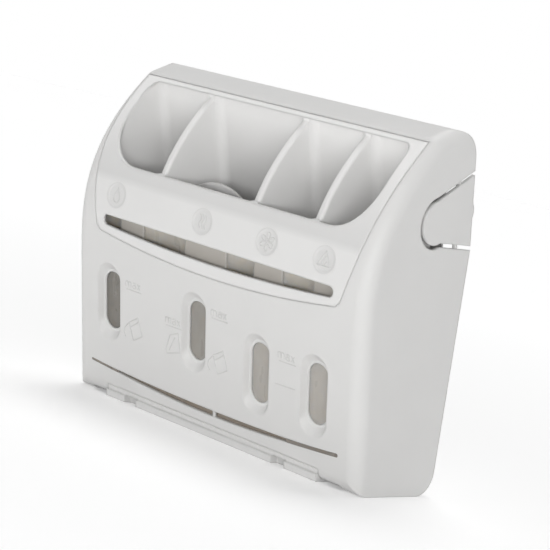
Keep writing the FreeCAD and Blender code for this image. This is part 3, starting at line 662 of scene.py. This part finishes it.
# %% [markdown]
# ## Splash aprons behind the slot
# Through the long slot one sees the four spouts, and between them milky walls that keep powder from
# spilling forward. Each apron is a thin upright sheet that bulges to the rear between two spouts. It is
# a flat oblong profile carried along X, with its depth following a parabola, and closed at both ends.

# %% Aprons between the spouts
APRON_SPANS = [(-119.0, -94.5), (-73.4, -33.6), (3.0, 28.0), (51.5, 78.5), (97.6, 119.0)]
APRON_FRONT = 12.6
APRON_BULGE = 3.4
APRON_WALL = 1.0
APRON_FOOT = 108.5
APRON_TOP = 132.9


def apron(left, right, steps=40):
    """Depth: the front plus a bulge times one minus the square of the way from the middle."""
    way = np.linspace(-1, 1, steps)
    x = (left + right) / 2 + way * (right - left) / 2
    y = APRON_FRONT + APRON_BULGE * (1 - way ** 2)
    depth = np.array([0, 0, 0, 1, 1, 1]) * APRON_WALL
    height = np.array([0, 0.5, 1, 1, 0.5, 0]) * (APRON_TOP - APRON_FOOT) + APRON_FOOT
    sheet = np.stack([np.broadcast_to(x[:, None], (steps, 6)), y[:, None] + depth,
                      np.broadcast_to(height, (steps, 6))], axis=-1)
    ends = [np.broadcast_to(sheet[k].mean(axis=0), (1, 6, 3)) for k in (0, -1)]
    return stand(np.concatenate([ends[0], sheet, ends[1]])), False


apron_milky = stained_tank("apron_milky", clear=(0.72, 0.68, 0.62), stained=(0.52, 0.47, 0.41),
                           ledge_and_slot_shade=(0.52, 0.47, 0.41), rear=(0.66, 0.615, 0.555))
piece_from("splash_aprons", [apron(*span) for span in APRON_SPANS], apron_milky)

# %% [markdown]
# ## Painted shade in the ends of the crescent slot
# Low in the panel runs a bowed slot with the tank's brown ledge behind it. The real slot keeps its
# height nearly to its blunt ends, but the solid's slot tapers to points. So a thin strip in the ledge's
# dark brown is laid on the panel at each end and carries the dark line on, as painted shade of the slot.
# It is one wide, flat stroke on the slot's middle line, and starts where the solid's slot has narrowed
# to the strip's width.

# %% Two flat strokes of painted slot shade
SLOT_HALF, SLOT_END_HEIGHT, SLOT_BOW, SLOT_OPEN = 112.0, 23.0, 5.5, 4.2
SHADE_STRIP_WIDTHS = {-1: 1.8, 1: 2.6}
SHADE_STRIP_LIFT = 0.12


def slot_shade_strip(side, width):
    """Height of the middle line: the ends' height less the bow times one minus the square of the way."""
    first = math.sqrt(1 - width / SLOT_OPEN)
    way = np.linspace(first, 1, 40)
    height = SLOT_END_HEIGHT - SLOT_BOW * (1 - way ** 2)
    return stroke(np.stack([side * way * SLOT_HALF, height], axis=1), width, SHADE_STRIP_LIFT)


shade_strips = [slot_shade_strip(side, width) for side, width in SHADE_STRIP_WIDTHS.items()]
laid = [(on_panel(grid, (0, 0)), ring) for grid, ring in shade_strips]
# Strips in the ledge's dark brown, laid on the panel: painted shade of the slot.
piece_from("slot_shade_strips", laid, tank_milky)

# %% [markdown]
# ## Camera
# The camera could be placed by eye, but the rows of windows, round fields and slot ends fix it better.
# They lie on the panel, so it was solved in the panel's own frame: how far round it looks, how far down,
# how it is rolled and where its eye stands. Then it is turned with the panel into the standing frame.

# %% The camera and its lens
CAMERA_ROUND = math.radians(41.92)
CAMERA_ABOVE = math.radians(19.01)
CAMERA_ROLL = math.radians(1.72)
CAMERA_EYE = (754.5, -778.1, 486.5)
FOCAL_PIXELS = 1800
FRAME_PIXELS = 550
SENSOR_WIDTH = 36.0

backwards = np.array([math.sin(CAMERA_ROUND) * math.cos(CAMERA_ABOVE),
                      -math.cos(CAMERA_ROUND) * math.cos(CAMERA_ABOVE), math.sin(CAMERA_ABOVE)])
rightwards = np.cross(-backwards, (0, 0, 1))
rightwards /= np.linalg.norm(rightwards)
upwards = np.cross(backwards, rightwards)
rolled_right = rightwards * math.cos(CAMERA_ROLL) + upwards * math.sin(CAMERA_ROLL)
rolled_up = upwards * math.cos(CAMERA_ROLL) - rightwards * math.sin(CAMERA_ROLL)
camera_axes = lean_turn @ np.stack([rolled_right, rolled_up, backwards], axis=1)
camera_data = bpy.data.cameras.new("camera")
camera_data.sensor_width = SENSOR_WIDTH
camera_data.lens = SENSOR_WIDTH * FOCAL_PIXELS / FRAME_PIXELS
camera_data.clip_end = 100.0
camera = bpy.data.objects.new("camera", camera_data)
camera_turn = Matrix(camera_axes.tolist()).to_4x4()
camera.matrix_world = Matrix.Translation(Vector(stand(CAMERA_EYE))) @ camera_turn
bpy.context.scene.collection.objects.link(camera)
bpy.context.scene.camera = camera
print("lens", round(camera_data.lens, 1), "mm, camera at", [round(v, 3) for v in camera.location])

# %% [markdown]
# ## Floor
# The picture has a white ground that keeps a soft shadow. The floor is plain and pale, and for rays from
# the camera it glows by what its light leaves missing to white. The world's light falls with the height
# of the direction, and so lights an open floor by the walls' level less two thirds of the fall. A lamp
# from behind adds its level times its height, and the low lamps add a little near the part.

# %% A pale floor
WALL_LIGHT = 0.83
CEILING_LIGHT = 0.0
FLOOR_TONE = 0.90
BACK_LIGHT = (-0.12, 0.22, 0.97)
BACK_LEVEL = 0.42
LAMPS_ON_FLOOR = 0.08
LAMPS_REACH = (0.3, 1.3)
FLOOR_REACH = 8.0
FLOOR_CORNERS = [(-1, -1), (1, -1), (1, 1), (-1, 1)]

open_floor = WALL_LIGHT - (WALL_LIGHT - CEILING_LIGHT) * 2 / 3 + BACK_LEVEL * BACK_LIGHT[2]
far_glow = 1 - FLOOR_TONE * open_floor
near_glow = far_glow - FLOOR_TONE * LAMPS_ON_FLOOR


def seen_directly(wire):
    """One for rays that come from the camera, a mirror or clear plastic, else zero."""
    path = [wire.make("ShaderNodeLightPath", output=f"Is {kind} Ray")
            for kind in ("Camera", "Glossy", "Transmission")]
    return wire.sum("MINIMUM", path[0] + path[1] + path[2], 1.0)


floor_finish, wire = start_finish("floor_pale")
matt = wire.make("ShaderNodeBsdfDiffuse", {}, {"Color": (FLOOR_TONE, FLOOR_TONE, FLOOR_TONE, 1)})
spot = wire.make("ShaderNodeTexCoord", output="Object")
away = wire.make("ShaderNodeVectorMath", {"operation": "LENGTH"}, {0: spot}, output="Value")
missing = blend_colours(wire, rising(wire, away, *LAMPS_REACH), (near_glow, near_glow, near_glow, 1),
                        (far_glow, far_glow, far_glow, 1))
glow = wire.make("ShaderNodeEmission", {}, {"Color": missing, "Strength": seen_directly(wire)})
both = wire.make("ShaderNodeAddShader", {}, {0: matt, 1: glow})
wire.make("ShaderNodeOutputMaterial", {}, {"Surface": both})
floor_mesh = bpy.data.meshes.new("floor")
corners = [(x * FLOOR_REACH, y * FLOOR_REACH, 0) for x, y in FLOOR_CORNERS]
floor_mesh.from_pydata(corners, [], [(0, 1, 2, 3)])
floor_mesh.materials.append(floor_finish)
floor = bpy.data.objects.new("floor", floor_mesh)
bpy.context.scene.collection.objects.link(floor)
print("floor glow", round(near_glow, 3), "near,", round(far_glow, 3), "far")

# %% [markdown]
# ## World
# As a light, the world is a room with pale walls and a dark ceiling, because the roof is darker than the
# front. A picture of a room could light it too, but one sum on the direction's height is enough. Seen
# directly or in a mirror the world is white, as the picture's ground is.

# %% Pale walls and a dark ceiling
world = bpy.data.worlds.new("studio")
world.use_nodes = True
world.node_tree.nodes.clear()
wire = Wire(world.node_tree)
direction = wire.make("ShaderNodeTexCoord", output="Generated")
upward = wire.make("ShaderNodeSeparateXYZ", {}, {"Vector": direction}, output="Z")
light = WALL_LIGHT - wire.sum("MAXIMUM", upward, 0.0) * (WALL_LIGHT - CEILING_LIGHT)
seen = seen_directly(wire)
strength = light * (1 - seen) + seen
sky = wire.make("ShaderNodeBackground", {}, {"Color": (1, 1, 1, 1), "Strength": strength})
wire.make("ShaderNodeOutputWorld", {}, {"Surface": sky})
bpy.context.scene.world = world
print("world: walls", WALL_LIGHT, "ceiling", CEILING_LIGHT)

# %% [markdown]
# ## Lamps
# Two wide, low lamps stand in front, one on each side of the camera. Being low, they light the panel
# more than the roof, shine into the pockets and leave the shadow on the floor to the room. A far, wide
# lamp from behind and above draws the shadow forward, under the leaning panel.

# %% The lamps
LAMP_AIM = (0, 0, 0.12)
BACK_SOFTNESS = math.radians(36)


def sky_lamp(name, towards, level, softness):
    """A far, wide lamp: its level is the share of white that it gives a surface facing it."""
    lamp_data = bpy.data.lights.new(name, "SUN")
    lamp_data.energy = level * math.pi
    lamp_data.angle = softness
    lamp = bpy.data.objects.new(name, lamp_data)
    lamp.rotation_mode = "QUATERNION"
    lamp.rotation_quaternion = Vector(towards).to_track_quat("-Z", "Y")
    bpy.context.scene.collection.objects.link(lamp)


def soft_lamp(name, place, aim, width, height, power):
    """An oblong area lamp that faces its aim."""
    lamp_data = bpy.data.lights.new(name, "AREA")
    lamp_data.shape = "RECTANGLE"
    lamp_data.size = width
    lamp_data.size_y = height
    lamp_data.energy = power
    lamp = bpy.data.objects.new(name, lamp_data)
    lamp.location = place
    lamp.rotation_mode = "QUATERNION"
    lamp.rotation_quaternion = (Vector(aim) - Vector(place)).to_track_quat("-Z", "Y")
    bpy.context.scene.collection.objects.link(lamp)


soft_lamp("lamp_left", (-0.75, -1.5, 0.16), LAMP_AIM, width=1.2, height=0.25, power=2.0)
soft_lamp("lamp_right", (1.35, -1.6, 0.16), LAMP_AIM, width=1.4, height=0.25, power=17)
sky_lamp("lamp_behind", -np.array(BACK_LIGHT), BACK_LEVEL, BACK_SOFTNESS)

# %% [markdown]
